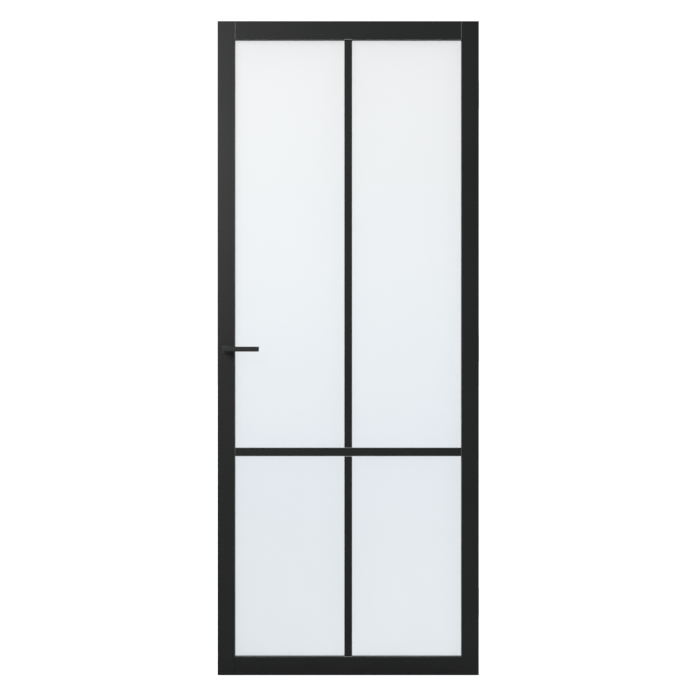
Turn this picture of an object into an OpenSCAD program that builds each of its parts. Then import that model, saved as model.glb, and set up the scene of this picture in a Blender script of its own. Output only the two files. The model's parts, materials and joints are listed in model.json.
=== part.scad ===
// A glazed interior door leaf: two full-height stiles with rails between them round one
// satin pane, a cross bar and slim upright bars on both faces of the glass, a mortise
// latch with a lever on each face, and three butt hinges that carry the leaf.
// X runs along the width towards the hinges, Y from the front face to the back face and
// Z up. The origin is the middle of the leaf's bottom face.

/* [Leaf] */
// Width of the leaf, over both stiles
leaf_w = 845; // [630:1:1030]
// Height of the leaf
leaf_h = 2115; // [1815:1:2415]
// Thickness of the leaf
leaf_t = 40; // [38:1:54]
// Width of each stile's front face
stile_w = 56; // [56:0.5:110]
// Height of the top rail's front face
top_rail_h = 58.5; // [45:0.5:120]
// Height of the bottom rail's front face
bottom_rail_h = 59.5; // [45:0.5:200]
// Radius that eases the edges of the timber
edge_r = 1.2; // [0.5:0.1:2]
// Diameter of the dowels in the corner joints
dowel_d = 10; // [6:1:12]
// Length of the dowels
dowel_l = 80; // [50:1:90]

/* [Glazing] */
// Thickness of the pane
glass_t = 8; // [5:1:12]
// How far the rebate reaches behind the front lip
rebate_w = 12; // [10:0.5:14]
// Gap between the pane's edge and the timber
glass_gap = 3; // [2:0.5:4]
// Thickness of the glazing tape on each face of the pane
tape_t = 2; // [1:0.5:3]
// Length of the blocks that the pane stands on
block_l = 100; // [60:5:120]
// Radius of the pins that hold the beads
bead_pin_r = 0.8; // [0.6:0.1:1.2]
// Depth of the bead pins in the timber
bead_pin_in = 6; // [4:0.5:7]
// Largest distance between two bead pins
bead_pin_step = 240; // [150:10:400]

/* [Glazing bars] */
// Height of the cross bar's middle above the bottom of the leaf
cross_bar_z = 721.7; // [300:0.1:1500]
// Height of the cross bar's face
cross_bar_h = 26.5; // [18:0.5:60]
// Width of the upright bars' face
upright_bar_w = 25; // [18:0.5:60]
// How far the tape lies inside the bars' edges
bar_tape_inset = 2; // [1:0.5:4]

/* [Latch] */
// Distance from the leaf's latch edge to the lever's axis
backset = 28; // [26:0.5:28]
// Thickness of the faceplate
forend_t = 3; // [2:0.5:4]
// Width of the faceplate
forend_w = 20; // [18:0.5:26]
// Height of the faceplate
forend_h = 140; // [132:1:200]
// Thickness of the latch case over its cover
case_t = 16; // [15:0.5:18]
// Thickness of the case's sheet
case_wall = 1.5; // [1:0.1:2]
// Case height above the lever's axis
case_up = 52; // [52:1:60]
// Case height below the lever's axis
case_down = 32; // [30:1:45]
// Distance from the lever's axis to the back of the case
case_back = 12; // [12:0.5:13]
// Height of the bolt's middle above the lever's axis
bolt_up = 30; // [30:0.5:31]
// Height of the bolt's head
bolt_h = 22; // [16:0.5:22]
// Thickness of the bolt's head
bolt_t = 12; // [8:0.5:12]
// Length of the bolt's head
bolt_l = 18; // [16:0.5:18]
// Radius of the rod behind the bolt's head
bolt_rod_r = 2.5; // [2:0.1:2.8]
// How far the magnet draws the bolt out
bolt_throw = 8; // [6:0.5:8]
// Length of the follower's arm from its axis
arm_l = 19.5; // [15:0.5:20]

/* [Lever] */
// Height of the lever's axis above the bottom of the leaf
lever_z = 1053; // [850:1:1200]
// Length of the grip from the axis to its tip
grip_l = 110; // [90:1:140]
// Height of the grip, and side of the neck
grip_h = 15.5; // [14:0.5:22]
// Depth of the grip, front to back
grip_t = 12; // [10:0.5:18]
// Projection of the grip's outer face from the leaf
grip_out = 52; // [46:1:70]
// Side of the square spindle
spindle_a = 8; // [7:0.5:8]
// Radius of the lever's round journal in its rose
journal_r = 7; // [6.5:0.1:7]
// Side of the square rose
rose_a = 24; // [24:0.5:50]
// Thickness of the rose
rose_t = 5.5; // [5:0.5:8]

/* [Hinges] */
// Height of a hinge's plates
hinge_h = 89; // [76:1:110]
// Distance from the pin's axis to a plate's free edge
hinge_plate_w = 29; // [29:0.5:34]
// Thickness of the plates
plate_t = 2; // [1.5:0.1:2.5]
// Radius of the knuckles
knuckle_r = 5.5; // [5:0.1:7]
// Radius of the pins
pin_r = 3; // [2.5:0.1:3.5]
// Gap between the two plates when the door is shut
hinge_gap = 0.6; // [0.5:0.1:4]
// Distance of the lower hinge's middle from the bottom of the leaf
low_hinge_in = 235; // [180:1:300]
// Distance of the upper hinge's middle from the top of the leaf
top_hinge_in = 235; // [180:1:300]
// Distance between the screw rows of a plate, across its width
screw_step_y = 12; // [10:0.5:14]
// Distance between the screw rows of a plate, along its height
screw_step_z = 60; // [45:1:68]
// Length of the hinge screws
hinge_screw_l = 30; // [20:1:35]

/* [Hidden] */
$fn = 48;

// Clearances
fit = 0.05; // a turned or glued fit, on the radius
slack = 0.1; // a loose fit, on the radius
over = 1; // how far a cut runs past the face that it opens

// Colours
timber_black = "#2c2d2d";
metal_black = "#232424";
steel = "#a9adb0";
spring_steel = "#8d9194";
tape_grey = "#3a3b3c";
nylon = "#d8d6cf";
beech = "#c9a878";
glass_tint = [0.85, 0.92, 0.93, 0.35];

// Leaf
half_w = leaf_w / 2;
half_t = leaf_t / 2;
half_open = half_w - stile_w; // half the width of the opening between the lips
open_low = bottom_rail_h;
open_high = leaf_h - top_rail_h;
rebate_x = half_open + rebate_w; // the stile's wall behind the lip
lip_y = -glass_t / 2 - tape_t; // the back of the front lip
bead_y = glass_t / 2 + tape_t; // the front of the back bead
dowel_y = (lip_y + half_t) / 2; // the dowels' axes, in the part that is full behind the lip
dowel_places = [0.27, 0.76]; // across the solid part of a rail, as shares of its height

// Glazing
tape_w = rebate_w - glass_gap;
pane_x = half_open + tape_w;
pane_low = open_low - tape_w;
pane_high = open_high + tape_w;
block_place = 0.25; // the blocks' middles, as shares of the pane's side
bead_pin_y = (bead_y + half_t) / 2;
bead_pin_end = 60; // from the first bead pin to the corner of the opening

// Latch
axis_x = -half_w + backset;
case_x = -half_w + forend_t;
case_end = axis_x + case_back;
case_low = lever_z - case_down;
case_high = lever_z + case_up;
forend_z = (case_low + case_high) / 2;
forend_screw_r = 2;
forend_screw_head_r = 4;
forend_screw_l = 25;
forend_screw_in = 12; // from the faceplate's end to a screw
forend_slot_l = 2.2; // half the length of the cross slots in these screws' heads
forend_slot_t = 0.45; // half the width of the cross slots
forend_slot_deep = 1.2;
case_inner = case_t / 2 - case_wall; // half the room between case and cover
mortise_gap = 0.25;
pillar_r = 3;
pillar_sink = 0.5; // of the pillars into the case's walls
pillar_in = case_wall + pillar_r - pillar_sink; // from the case's faces to a pillar's middle
pillars = [
    for (x = [case_x + pillar_in, case_end - pillar_in])
        for (z = [case_low + pillar_in, case_high - pillar_in]) [x, z]
];
case_screw_r = 1.5;
case_screw_head_r = 2.75;
case_screw_l = 11;
bolt_z = lever_z + bolt_up;
bolt_gap = 0.2; // round the bolt where it leaves the case
bolt_rest_gap = 0.3; // from the bolt's shoulder to the web
web_x = -half_w + bolt_l + bolt_rest_gap; // the web that stops and guides the bolt
web_drop = 8; // of the web below the bolt's axis
web_low = bolt_z - web_drop;
collar_t = 2;
collar_in = 0.2; // of the clip behind the rod's end
latch_wire_r = 0.4;
latch_turns = 6;
latch_play = 1; // of the spring, beyond the bolt's throw
// The rod's end leaves the spring its closed length after the whole throw
bolt_rod_end = web_x + case_wall + latch_turns * 2 * latch_wire_r
    + bolt_throw + latch_play + collar_t;
collar_r = 4.3;
magnet_r = 5;
magnet_t = 4;
hub_r = 8;
hub_gap = 0.3; // each side of the follower inside the case
case_bore_r = 7; // the follower's bearings in case and cover
arm_w = 5;
arm_t = 4;
arm_rest = 45; // how far the arm leans towards the bolt at rest
arm_turn = 45; // how far the lever turns
post_r = 2;
post_along = 14; // from the axis to a stop post, along the arm
post_gap = 0.3;

// Springs
latch_coil_r = 3.6;
return_wire_r = 0.45;
return_coil_r = 9;
return_turns = 3;
return_pitch = 1.15;
return_leg = 20;
anchor_r = 1.5;
coil_steps = 14; // points in each turn of a spring

// Lever
rose_base_t = 3;
rose_wall = 1.2;
rose_corner_r = 3;
rose_edge_r = 0.8;
rose_gap = 0.2; // between the rose's base and its cap
rose_screw_r = 1.5;
rose_screw_head_r = 2.5;
rose_wood = half_t - case_t / 2; // timber between the rose and the mortise
rose_screw_short = 1.5; // of the rose's screws before the mortise
rose_screw_l = rose_base_t + rose_wood - rose_screw_short;
rose_inner = rose_a / 2 - rose_wall; // half the cap's room
rose_screw_edge = 0.2; // from a screw's head to the base plate's edge
rose_screw_at = rose_inner - rose_gap - rose_screw_head_r - rose_screw_edge;
bush_r = 8.4;
bush_in = 8;
bush_out = rose_base_t + 0.6;
journal_in = 7;
lever_gap = 0.5; // between the rose and the lever's neck
neck_edge_r = 2;
spindle_reach = 26; // beyond each face of the leaf
grub_r = 2.5;
grub_out = 16; // from the leaf's face to a grub screw
grub_hex_r = 1.45; // of the six-sided socket, over its corners
grub_hex_deep = 2.5;

// Hinges
knuckle_out = 0.4; // between the knuckles and the leaf's back face
knuckle_gap = 0.4; // from a plate's edge to the other plate's knuckles
pin_x = half_w + hinge_gap / 2;
pin_y = half_t + knuckle_out + knuckle_r;
plate_low_y = pin_y - hinge_plate_w;
plate_high_y = pin_y - knuckle_r - knuckle_gap;
screw_y = (plate_low_y + plate_high_y) / 2;
washer_t = 1;
washer_gap = 0.2;
head_gap = 0.3; // above each knuckle of the leaf's plate
knuckles = 5;
knuckle_h = (hinge_h - 2 * (washer_t + washer_gap + head_gap)) / knuckles;
pin_head_r = 4.8;
pin_head_h = 2;
pin_head_edge = 0.8;
hinge_screw_r = 2.4;
hinge_hole_r = 2.5;
hinge_screw_head_r = 4.5;
screw_sink = 1.4; // depth of the countersinks in the plates
hinge_low = low_hinge_in;
hinge_top = leaf_h - top_hinge_in;
hinge_middle = (hinge_low + hinge_top) / 2;
hinge_places = [hinge_low, hinge_middle, hinge_top];

// ---- Shared shapes ----

// Its outline, drawn in Y and Z, carried from x0 to x1
module prism_x(x0, x1) {
    translate([x0, 0, 0]) rotate([90, 0, 90]) linear_extrude(x1 - x0) children();
}

// Its outline, drawn in X and Z, carried from y0 to y1
module prism_y(y0, y1) {
    translate([0, y1, 0]) rotate([90, 0, 0]) linear_extrude(y1 - y0) children();
}

// Its outline, drawn in X and Y, carried from z0 to z1
module prism_z(z0, z1) {
    translate([0, 0, z0]) linear_extrude(z1 - z0) children();
}

module box(low, high) {
    translate(low) cube(high - low);
}

module rect(low, high) {
    translate(low) square(high - low);
}

// A round bar of radius r, or a cone to radius r2, from x0 to x1
module bar_x(x0, x1, y, z, r, r2 = undef) {
    translate([x0, y, z]) rotate([0, 90, 0])
        cylinder(h = x1 - x0, r1 = r, r2 = is_undef(r2) ? r : r2);
}

module bar_y(y0, y1, x, z, r, r2 = undef) {
    translate([x, y0, z]) rotate([-90, 0, 0])
        cylinder(h = y1 - y0, r1 = r, r2 = is_undef(r2) ? r : r2);
}

module bar_z(z0, z1, x, y, r, r2 = undef) {
    translate([x, y, z0]) cylinder(h = z1 - z0, r1 = r, r2 = is_undef(r2) ? r : r2);
}

// What rounding one corner takes away: side gives the corner's signs in the two directions
module corner_waste(at, side, r) {
    difference() {
        translate([at[0] - (side[0] > 0 ? r : over), at[1] - (side[1] > 0 ? r : over)])
            square(r + over);
        translate([at[0] - side[0] * r, at[1] - side[1] * r]) circle(r);
    }
}

// A rectangle with the listed corners rounded
module eased_rect(low, high, r, sides) {
    difference() {
        rect(low, high);
        for (s = sides)
            corner_waste([s[0] < 0 ? low[0] : high[0], s[1] < 0 ? low[1] : high[1]], s, r);
    }
}

all_corners = [[-1, -1], [1, -1], [1, 1], [-1, 1]];
front_corners = [[-1, -1], [1, -1]];
back_corners = [[-1, 1], [1, 1]];

// A block with every edge rounded
module eased_block(low, high, r) {
    intersection() {
        prism_x(low[0], high[0])
            eased_rect([low[1], low[2]], [high[1], high[2]], r, all_corners);
        prism_y(low[1], high[1])
            eased_rect([low[0], low[2]], [high[0], high[2]], r, all_corners);
        prism_z(low[2], high[2])
            eased_rect([low[0], low[1]], [high[0], high[1]], r, all_corners);
    }
}

function unit(v) = v / norm(v);

// The direction of a path at its point i
function heading(path, i) =
    unit(path[min(i + 1, len(path) - 1)] - path[max(i - 1, 0)]);

// Points round a wire of radius r at p, which heads along t and winds round the axis
function wire_ring(p, t, axis, r, sides) =
    let (u = unit(cross(t, axis)), v = cross(u, t))
    [for (k = [0:sides - 1]) p + r * (cos(360 * k / sides) * u + sin(360 * k / sides) * v)];

// A round wire along a path that winds round the axis
module wire(path, axis, r, sides = 8) {
    last = (len(path) - 1) * sides;
    points = [
        for (i = [0:len(path) - 1]) each wire_ring(path[i], heading(path, i), axis, r, sides)
    ];
    skin = [
        for (i = [0:len(path) - 2])
            for (k = [0:sides - 1])
                let (a = i * sides + k, b = i * sides + (k + 1) % sides)
                each [[a, a + sides, b + sides], [a, b + sides, b]]
    ];
    start = [for (k = [0:sides - 1]) k];
    end = [for (k = [sides - 1:-1:0]) last + k];
    polyhedron(points, concat([start, end], skin));
}

// ---- Timber ----

// A stile's outline seen from above, on the hinge side
module stile_plan() {
    difference() {
        eased_rect([half_open, -half_t], [half_w, half_t], edge_r,
                   [[-1, -1], [1, -1], [1, 1]]);
        rect([half_open - over, lip_y], [rebate_x, half_t + over]);
        corner_waste([rebate_x, half_t], [-1, 1], edge_r / 2);
    }
}

module stile_blank() {
    intersection() {
        prism_z(0, leaf_h) stile_plan();
        prism_x(half_open, half_w)
            eased_rect([-half_t, 0], [half_t, leaf_h], edge_r, all_corners);
    }
}

// Heights of the dowels in the rail that lies between low and high
function dowel_heights(low, high) = [for (s = dowel_places) low + s * (high - low)];

rail_dowels = concat(
    dowel_heights(0, bottom_rail_h - rebate_w),
    dowel_heights(leaf_h - top_rail_h + rebate_w, leaf_h)
);

// The dowels of one side, or their holes
module dowels(side, r) {
    for (z = rail_dowels)
        bar_x(side * rebate_x - dowel_l / 2, side * rebate_x + dowel_l / 2, dowel_y, z, r);
}

module lock_stile() {
    color(timber_black) difference() {
        mirror([1, 0, 0]) stile_blank();
        dowels(-1, dowel_d / 2 + fit);
        faceplate(over, slack);
        box([case_x - over, -case_t / 2 - mortise_gap, case_low - mortise_gap],
            [case_end + mortise_gap, case_t / 2 + mortise_gap, case_high + mortise_gap]);
        bar_y(-half_t - over, half_t + over, axis_x, lever_z, bush_r + slack);
        forend_screw_set(fit);
        rose_screw_set(1, fit);
        rose_screw_set(-1, fit);
        side_bead_pins(-1, fit);
    }
}

module hinge_stile() {
    color(timber_black) difference() {
        stile_blank();
        dowels(1, dowel_d / 2 + fit);
        for (z = hinge_places) {
            box([half_w - plate_t, plate_low_y, z - hinge_h / 2],
                [half_w + over, half_t + over, z + hinge_h / 2]);
            hinge_screw_set(z, fit);
        }
        side_bead_pins(1, fit);
    }
}

// A rail's outline seen from above: its back reaches into the stiles' rebates
module rail_plan() {
    eased_rect([-half_open, -half_t], [half_open, lip_y + over], edge_r, front_corners);
    eased_rect([-rebate_x, lip_y], [rebate_x, half_t], edge_r / 2, back_corners);
}

// A rail's outline seen from its end: the opening lies above the rail where up is 1
module rail_end(low, high, up) {
    sight = up > 0 ? high : low;
    wall = sight - up * rebate_w;
    difference() {
        eased_rect([-half_t, low], [half_t, high], edge_r,
                   concat(front_corners, back_corners));
        rect([lip_y, min(wall, sight + up * over)],
             [half_t + over, max(wall, sight + up * over)]);
        corner_waste([half_t, wall], [1, up], edge_r / 2);
    }
}

module rail(low, high, up) {
    difference() {
        intersection() {
            prism_z(low, high) rail_plan();
            prism_x(-rebate_x, rebate_x) rail_end(low, high, up);
        }
        dowels(1, dowel_d / 2 + fit);
        dowels(-1, dowel_d / 2 + fit);
        level_bead_pins(up, fit);
    }
}

module top_rail() {
    color(timber_black) rail(open_high, leaf_h, -1);
}

module bottom_rail() {
    color(timber_black) rail(0, open_low, 1);
}

module corner_dowels() {
    color(beech) {
        dowels(1, dowel_d / 2);
        dowels(-1, dowel_d / 2);
    }
}

// ---- Glazing ----

module glass_pane() {
    color(glass_tint)
        box([-pane_x, -glass_t / 2, pane_low], [pane_x, glass_t / 2, pane_high]);
}

// A ring of tape between the pane and the timber, from y0 to y1
module glazing_tape(y0, y1) {
    color(tape_grey) prism_y(y0, y1) difference() {
        rect([-pane_x, pane_low], [pane_x, pane_high]);
        rect([-half_open, open_low], [half_open, open_high]);
    }
}

module glazing_tape_front() {
    glazing_tape(lip_y, -glass_t / 2);
}

module glazing_tape_back() {
    glazing_tape(glass_t / 2, bead_y);
}

// Blocks that fill the gap round the pane: it stands on the lower two
module setting_blocks() {
    xs = [pane_x * (4 * block_place - 2), pane_x * (2 - 4 * block_place)] / 2;
    zs = [for (s = [block_place, 1 - block_place]) pane_low + s * (pane_high - pane_low)];
    color(nylon) {
        for (x = xs)
            for (z = [pane_low - glass_gap, pane_high])
                box([x - block_l / 2, -glass_t / 2, z],
                    [x + block_l / 2, glass_t / 2, z + glass_gap]);
        for (z = zs)
            for (x = [-pane_x - glass_gap, pane_x])
                box([x, -glass_t / 2, z - block_l / 2],
                    [x + glass_gap, glass_t / 2, z + block_l / 2]);
    }
}

// A side bead: its ends are mitred
module side_bead(side) {
    far = side * rebate_x;
    near = side * half_open;
    color(timber_black) difference() {
        intersection() {
            prism_y(bead_y, half_t) polygon([
                [near, open_low], [far, open_low - rebate_w],
                [far, open_high + rebate_w], [near, open_high]
            ]);
            prism_z(open_low - rebate_w, open_high + rebate_w)
                eased_rect([min(near, far), bead_y], [max(near, far), half_t],
                           edge_r / 2, back_corners);
        }
        side_bead_pins(side, fit);
    }
}

// The bead along a rail: the opening lies above the bead where up is 1
module level_bead(up) {
    near = up > 0 ? open_low : open_high;
    far = near - up * rebate_w;
    color(timber_black) difference() {
        intersection() {
            prism_y(bead_y, half_t) polygon([
                [-half_open, near], [half_open, near], [rebate_x, far], [-rebate_x, far]
            ]);
            prism_x(-rebate_x, rebate_x)
                eased_rect([bead_y, min(near, far)], [half_t, max(near, far)],
                           edge_r / 2, [[1, -1], [1, 1]]);
        }
        level_bead_pins(up, fit);
    }
}

module glazing_bead_left() {
    side_bead(-1);
}

module glazing_bead_right() {
    side_bead(1);
}

module glazing_bead_top() {
    level_bead(-1);
}

module glazing_bead_bottom() {
    level_bead(1);
}

// Even steps from low to high, none over the largest step
function pin_places(low, high) =
    let (n = ceil((high - low) / bead_pin_step)) [for (i = [0:n]) low + i * (high - low) / n];

// The pins of a side bead, or their holes
module side_bead_pins(side, grow) {
    x0 = side * half_open;
    x1 = side * (rebate_x + bead_pin_in);
    for (z = pin_places(open_low + bead_pin_end, open_high - bead_pin_end))
        bar_x(min(x0, x1), max(x0, x1), bead_pin_y, z, bead_pin_r + grow);
}

// The pins of the bead on the rail that lies below the opening where up is 1
module level_bead_pins(up, grow) {
    z0 = up > 0 ? open_low : open_high;
    z1 = z0 - up * (rebate_w + bead_pin_in);
    for (x = pin_places(-half_open + bead_pin_end, half_open - bead_pin_end))
        bar_z(min(z0, z1), max(z0, z1), x, bead_pin_y, bead_pin_r + grow);
}

module bead_pins() {
    color(steel) {
        side_bead_pins(-1, 0);
        side_bead_pins(1, 0);
        level_bead_pins(-1, 0);
        level_bead_pins(1, 0);
    }
}

// ---- Glazing bars ----

// The space of each bar, as its lowest and highest corner in X and Z
cross_span = [
    [-half_open, cross_bar_z - cross_bar_h / 2],
    [half_open, cross_bar_z + cross_bar_h / 2]
];
upper_span = [[-upright_bar_w / 2, cross_span[1][1]], [upright_bar_w / 2, open_high]];
lower_span = [[-upright_bar_w / 2, open_low], [upright_bar_w / 2, cross_span[0][1]]];

// A bar between y0 and y1, with the edges of its outer face eased
module glazing_bar(span, y0, y1) {
    faces = y0 < 0 ? -1 : 1;
    color(timber_black) intersection() {
        prism_z(span[0][1], span[1][1])
            eased_rect([span[0][0], y0], [span[1][0], y1], edge_r,
                       [[-1, faces], [1, faces]]);
        prism_x(span[0][0], span[1][0])
            eased_rect([y0, span[0][1]], [y1, span[1][1]], edge_r,
                       [[faces, -1], [faces, 1]]);
    }
}

module cross_bar_front() {
    glazing_bar(cross_span, -half_t, lip_y);
}

module cross_bar_back() {
    glazing_bar(cross_span, bead_y, half_t);
}

module upper_bar_front() {
    glazing_bar(upper_span, -half_t, lip_y);
}

module upper_bar_back() {
    glazing_bar(upper_span, bead_y, half_t);
}

module lower_bar_front() {
    glazing_bar(lower_span, -half_t, lip_y);
}

module lower_bar_back() {
    glazing_bar(lower_span, bead_y, half_t);
}

// The tapes that hold the bars to the pane
module bar_tapes(y0, y1) {
    inset = [bar_tape_inset, bar_tape_inset];
    color(tape_grey) for (span = [cross_span, upper_span, lower_span])
        prism_y(y0, y1) rect(span[0] + inset, span[1] - inset);
}

module bar_tapes_front() {
    bar_tapes(lip_y, -glass_t / 2);
}

module bar_tapes_back() {
    bar_tapes(glass_t / 2, bead_y);
}

// ---- Latch ----

// The faceplate's space, with round ends, out past the leaf's edge by proud
module faceplate(proud, grow) {
    r = forend_w / 2 + grow;
    reach = forend_h / 2 - forend_w / 2;
    prism_x(-half_w - proud, case_x) {
        rect([-r, forend_z - reach], [r, forend_z + reach]);
        for (s = [-1, 1]) translate([0, forend_z + s * reach]) circle(r);
    }
}

// A countersunk screw driven along X from x0, or its hole: way is 1 or -1
module screw_x(x0, way, y, z, r, head_r, sink, length) {
    deep = x0 + way * sink;
    tip = x0 + way * length;
    bar_x(min(x0, deep), max(x0, deep), y, z, way > 0 ? head_r : r, way > 0 ? r : head_r);
    bar_x(min(x0, tip), max(x0, tip), y, z, r);
}

// A countersunk screw driven along Y from y0, or its hole: way is 1 or -1
module screw_y(y0, way, x, z, r, head_r, sink, length) {
    deep = y0 + way * sink;
    tip = y0 + way * length;
    bar_y(min(y0, deep), max(y0, deep), x, z, way > 0 ? head_r : r, way > 0 ? r : head_r);
    bar_y(min(y0, tip), max(y0, tip), x, z, r);
}

// The faceplate's two wood screws, or their holes
module forend_screw_set(grow) {
    for (s = [-1, 1])
        screw_x(-half_w, 1, 0, forend_z + s * (forend_h / 2 - forend_screw_in),
                forend_screw_r + grow, forend_screw_head_r + grow,
                forend_screw_head_r - forend_screw_r, forend_screw_l + grow);
}

module lock_forend() {
    color(metal_black) difference() {
        faceplate(0, 0);
        bolt_way(-half_w - over, case_x + over);
        forend_screw_set(fit);
    }
}

// The opening that the bolt slides through
module bolt_way(x0, x1) {
    box([x0, -bolt_t / 2 - bolt_gap, bolt_z - bolt_h / 2 - bolt_gap],
        [x1, bolt_t / 2 + bolt_gap, bolt_z + bolt_h / 2 + bolt_gap]);
}

module forend_screws() {
    color(metal_black) difference() {
        forend_screw_set(0);
        for (s = [-1, 1]) {
            z = forend_z + s * (forend_h / 2 - forend_screw_in);
            cross_slot(z);
        }
    }
}

// The cross slot in a faceplate screw's head
module cross_slot(z) {
    long = forend_slot_l;
    thin = forend_slot_t;
    floor_x = -half_w + forend_slot_deep;
    box([-half_w - over, -long, z - thin], [floor_x, long, z + thin]);
    box([-half_w - over, -thin, z - long], [floor_x, thin, z + long]);
}

// Where a stop post stands beside the arm, when the arm leans by lean: side picks the flank
function post_at(lean, side) =
    let (along = [-sin(lean), cos(lean)], out = side * [cos(lean), sin(lean)])
    [axis_x, lever_z] + post_along * along + (arm_w / 2 + post_gap + post_r) * out;

stop_posts = [post_at(arm_rest, -1), post_at(arm_rest - arm_turn, 1)];
anchor_post = [
    axis_x - return_coil_r - return_wire_r - anchor_r - post_gap,
    lever_z - return_leg + anchor_r
];

// The case: a tray with its walls, pillars, posts and the bolt's guide
module lock_case() {
    floor_y = -case_inner;
    color(steel) difference() {
        union() {
            box([case_x, -case_t / 2, case_low], [case_end, floor_y, case_high]);
            prism_y(-case_t / 2, case_inner) difference() {
                rect([case_x, case_low], [case_end, case_high]);
                rect([case_x + case_wall, case_low + case_wall],
                     [case_end - case_wall, case_high - case_wall]);
            }
            for (p = pillars) bar_y(floor_y - case_wall / 2, case_inner, p[0], p[1], pillar_r);
            for (p = stop_posts) bar_y(floor_y - case_wall / 2, case_inner, p[0], p[1], post_r);
            bar_y(floor_y - case_wall / 2, case_inner, anchor_post[0], anchor_post[1], anchor_r);
            box([web_x, -case_t / 2, web_low],
                [web_x + case_wall, case_inner, case_high - case_wall / 2]);
        }
        bolt_way(case_x - over, case_x + case_wall + over / 2);
        bar_x(web_x - over / 4, web_x + case_wall + over, 0, bolt_z, bolt_rod_r + slack);
        bar_y(-case_t / 2 - over, floor_y + over, axis_x, lever_z, case_bore_r);
        case_screw_set(fit);
    }
}

module lock_cover() {
    color(steel) difference() {
        box([case_x, case_inner, case_low], [case_end, case_t / 2, case_high]);
        bar_y(case_inner - over, case_t / 2 + over, axis_x, lever_z, case_bore_r);
        case_screw_set(fit);
    }
}

module case_screw_set(grow) {
    for (p = pillars)
        screw_y(case_t / 2, -1, p[0], p[1], case_screw_r + grow, case_screw_head_r + grow,
                case_screw_head_r - case_screw_r, case_screw_l + grow);
}

module case_screws() {
    color(metal_black) case_screw_set(0);
}

module latch_bolt() {
    color(steel) difference() {
        union() {
            box([-half_w, -bolt_t / 2, bolt_z - bolt_h / 2],
                [-half_w + bolt_l, bolt_t / 2, bolt_z + bolt_h / 2]);
            bar_x(-half_w + bolt_l - over, bolt_rod_end, 0, bolt_z, bolt_rod_r);
        }
        bar_x(-half_w - over, -half_w + magnet_t, 0, bolt_z, magnet_r + fit);
    }
}

module latch_magnet() {
    color(spring_steel) bar_x(-half_w, -half_w + magnet_t, 0, bolt_z, magnet_r);
}

// The clip that the spring bears on, at the end of the bolt's rod
module latch_collar() {
    color(metal_black) difference() {
        bar_x(bolt_rod_end - collar_t, bolt_rod_end - collar_in, 0, bolt_z, collar_r);
        bar_x(bolt_rod_end - collar_t - over, bolt_rod_end + over, 0, bolt_z,
              bolt_rod_r + fit);
    }
}

// The spring that draws the bolt in, from the web to the clip
module latch_spring() {
    x0 = web_x + case_wall + latch_wire_r + slack;
    x1 = bolt_rod_end - collar_t - latch_wire_r - slack;
    steps = latch_turns * coil_steps;
    path = [
        for (i = [0:steps])
            let (a = 360 * i / coil_steps)
            [x0 + (x1 - x0) * i / steps, latch_coil_r * cos(a), bolt_z + latch_coil_r * sin(a)]
    ];
    color(spring_steel) wire(path, [1, 0, 0], latch_wire_r, 6);
}

// The follower: a hub with a square hole, a bearing on each side and the arm
module follower() {
    inner = case_inner - hub_gap;
    color(steel) difference() {
        union() {
            bar_y(-inner, inner, axis_x, lever_z, hub_r);
            bar_y(-case_t / 2, case_t / 2, axis_x, lever_z, case_bore_r - fit);
            translate([axis_x, 0, lever_z]) rotate([0, -arm_rest, 0])
                box([-arm_w / 2, -arm_t / 2, 0], [arm_w / 2, arm_t / 2, arm_l]);
        }
        spindle_bar(-case_t / 2 - over, case_t / 2 + over, fit);
    }
}

// The spring that brings the levers back up: coils round the follower, and one long leg
module return_spring() {
    steps = return_turns * coil_steps;
    y0 = -case_inner + return_wire_r + slack;
    coil = [
        for (i = [0:steps])
            let (a = 180 + 360 * i / coil_steps)
            [
                axis_x + return_coil_r * cos(a),
                y0 + return_pitch * i / coil_steps,
                lever_z + return_coil_r * sin(a)
            ]
    ];
    leg = [for (s = [1, 0.5]) [axis_x - return_coil_r, y0, lever_z - return_leg * s]];
    color(spring_steel) wire(concat(leg, coil), [0, 1, 0], return_wire_r);
}

// The square bar through the latch, or its hole
module spindle_bar(y0, y1, grow) {
    a = spindle_a / 2 + grow;
    box([axis_x - a, y0, lever_z - a], [axis_x + a, y1, lever_z + a]);
}

module spindle() {
    color(steel) spindle_bar(-half_t - spindle_reach, half_t + spindle_reach, 0);
}

// ---- Lever and roses: the front ones, which the back ones mirror ----

module back() {
    mirror([0, 1, 0]) children();
}

module grub_screw(grow) {
    bar_z(lever_z - grip_h / 2, lever_z - spindle_a / 2, axis_x, -half_t - grub_out,
          grub_r + grow);
}

module lever() {
    neck_y = -half_t - rose_t - lever_gap;
    grip_y = -half_t - grip_out;
    h = grip_h / 2;
    color(metal_black) difference() {
        union() {
            bar_y(neck_y - over, -half_t + journal_in, axis_x, lever_z, journal_r);
            prism_y(grip_y + grip_t / 2, neck_y)
                eased_rect([axis_x - h, lever_z - h], [axis_x + h, lever_z + h],
                           neck_edge_r, all_corners);
            eased_block([axis_x - h, grip_y, lever_z - h],
                        [axis_x + grip_l, grip_y + grip_t, lever_z + h], neck_edge_r);
        }
        spindle_bar(-half_t - spindle_reach - over / 2, -half_t + journal_in + over, fit);
        grub_screw(fit);
        bar_z(lever_z - h - over, lever_z - h + over / 10, axis_x, -half_t - grub_out,
              grub_r + fit);
    }
}

module lever_front() {
    lever();
}

module lever_back() {
    back() lever();
}

// One grub screw under each neck, with a six-sided socket
module one_grub_screw() {
    difference() {
        grub_screw(0);
        translate([axis_x, -half_t - grub_out, lever_z - grip_h / 2 - over])
            cylinder(h = over + grub_hex_deep, r = grub_hex_r, $fn = 6);
    }
}

module grub_screws() {
    color(metal_black) {
        one_grub_screw();
        back() one_grub_screw();
    }
}

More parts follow.
